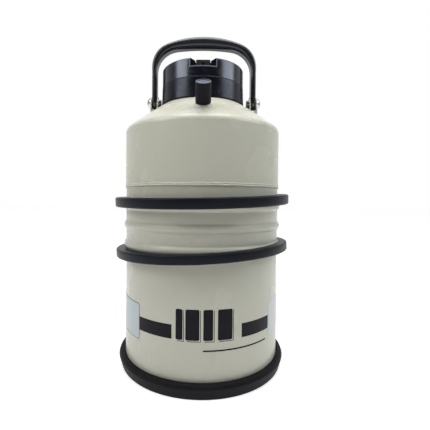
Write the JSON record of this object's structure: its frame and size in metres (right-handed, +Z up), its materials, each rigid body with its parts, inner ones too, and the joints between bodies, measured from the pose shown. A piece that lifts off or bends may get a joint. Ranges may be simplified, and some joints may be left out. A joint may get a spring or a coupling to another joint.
{
  "type": "liquid nitrogen dewar",
  "caption": "Upright liquid nitrogen vessel with a domed shoulder, black lid with padlock lug, folding carry handle, capped vacuum port, rubber bumper rings and foot.",
  "frame": {"origin": "middle of the foot ring's underside, on the barrel's axis", "axes": "+Z up along the vessel's axis; the vacuum port and the lock recess face -Y; the handle's pivots lie along X"},
  "size_m": [0.3302, 0.3302, 0.6216],
  "materials": {
    "cream_paint": "satin",
    "black_rubber": "matte",
    "lid_plastic": "gloss",
    "cap_plastic": "satin",
    "handle_plastic": "satin",
    "lug_black": "satin",
    "zinc_steel": "bright zinc",
    "bare_aluminium": "satin",
    "glass_fibre_laminate": "satin",
    "plug_foam": "matte",
    "foil_blanket": "crinkled foil"
  },
  "bodies": {
    "vessel": {"outer_barrel": "cream_paint", "shoulder_shell": "cream_paint", "bottom_dish": "cream_paint", "base_ring": "black_rubber", "upper_bumper_ring": "black_rubber", "lower_bumper_ring": "black_rubber", "inner_vessel": "bare_aluminium", "insulation_blanket": "foil_blanket", "adsorbent_tray": "bare_aluminium", "neck_tube": "glass_fibre_laminate", "neck_flange": "bare_aluminium", "collar_gasket": "black_rubber", "neck_collar": "lid_plastic", "collar_mount_ring": "bare_aluminium", "collar_screws": "zinc_steel", "lock_lug": "lug_black", "lug_screws": "zinc_steel", "port_boss": "cream_paint", "port_plug": "bare_aluminium", "port_oring": "black_rubber", "bracket_left": "cream_paint", "bracket_right": "cream_paint", "pivot_bolt_left": "zinc_steel", "pivot_bolt_right": "zinc_steel", "pivot_washer_left": "zinc_steel", "pivot_washer_right": "zinc_steel", "pivot_nut_left": "zinc_steel", "pivot_nut_right": "zinc_steel"},
    "handle": {"carry_handle": "handle_plastic"},
    "lid": {"lid_cap": "lid_plastic", "plug_head": "lid_plastic", "plug_screw": "zinc_steel", "lid_plug": "plug_foam"},
    "vacuum_cap": {"port_cap": "cap_plastic"}
  },
  "joints": [
    {"name": "handle_swing", "type": "hinge", "parent": "vessel", "child": "handle", "pos_m": [0.0022, 0, 0.4936], "axis": [1, 0, 0], "range_deg": [-99, 82]},
    {"name": "lid_lift", "type": "slide", "parent": "vessel", "child": "lid", "axis": [0, 0, 1], "range_m": [0, 0.03]},
    {"name": "port_cap_pull", "type": "slide", "parent": "vessel", "child": "vacuum_cap", "axis": [0, -0.5878, 0.809], "range_m": [0, 0.03]}
  ]
}
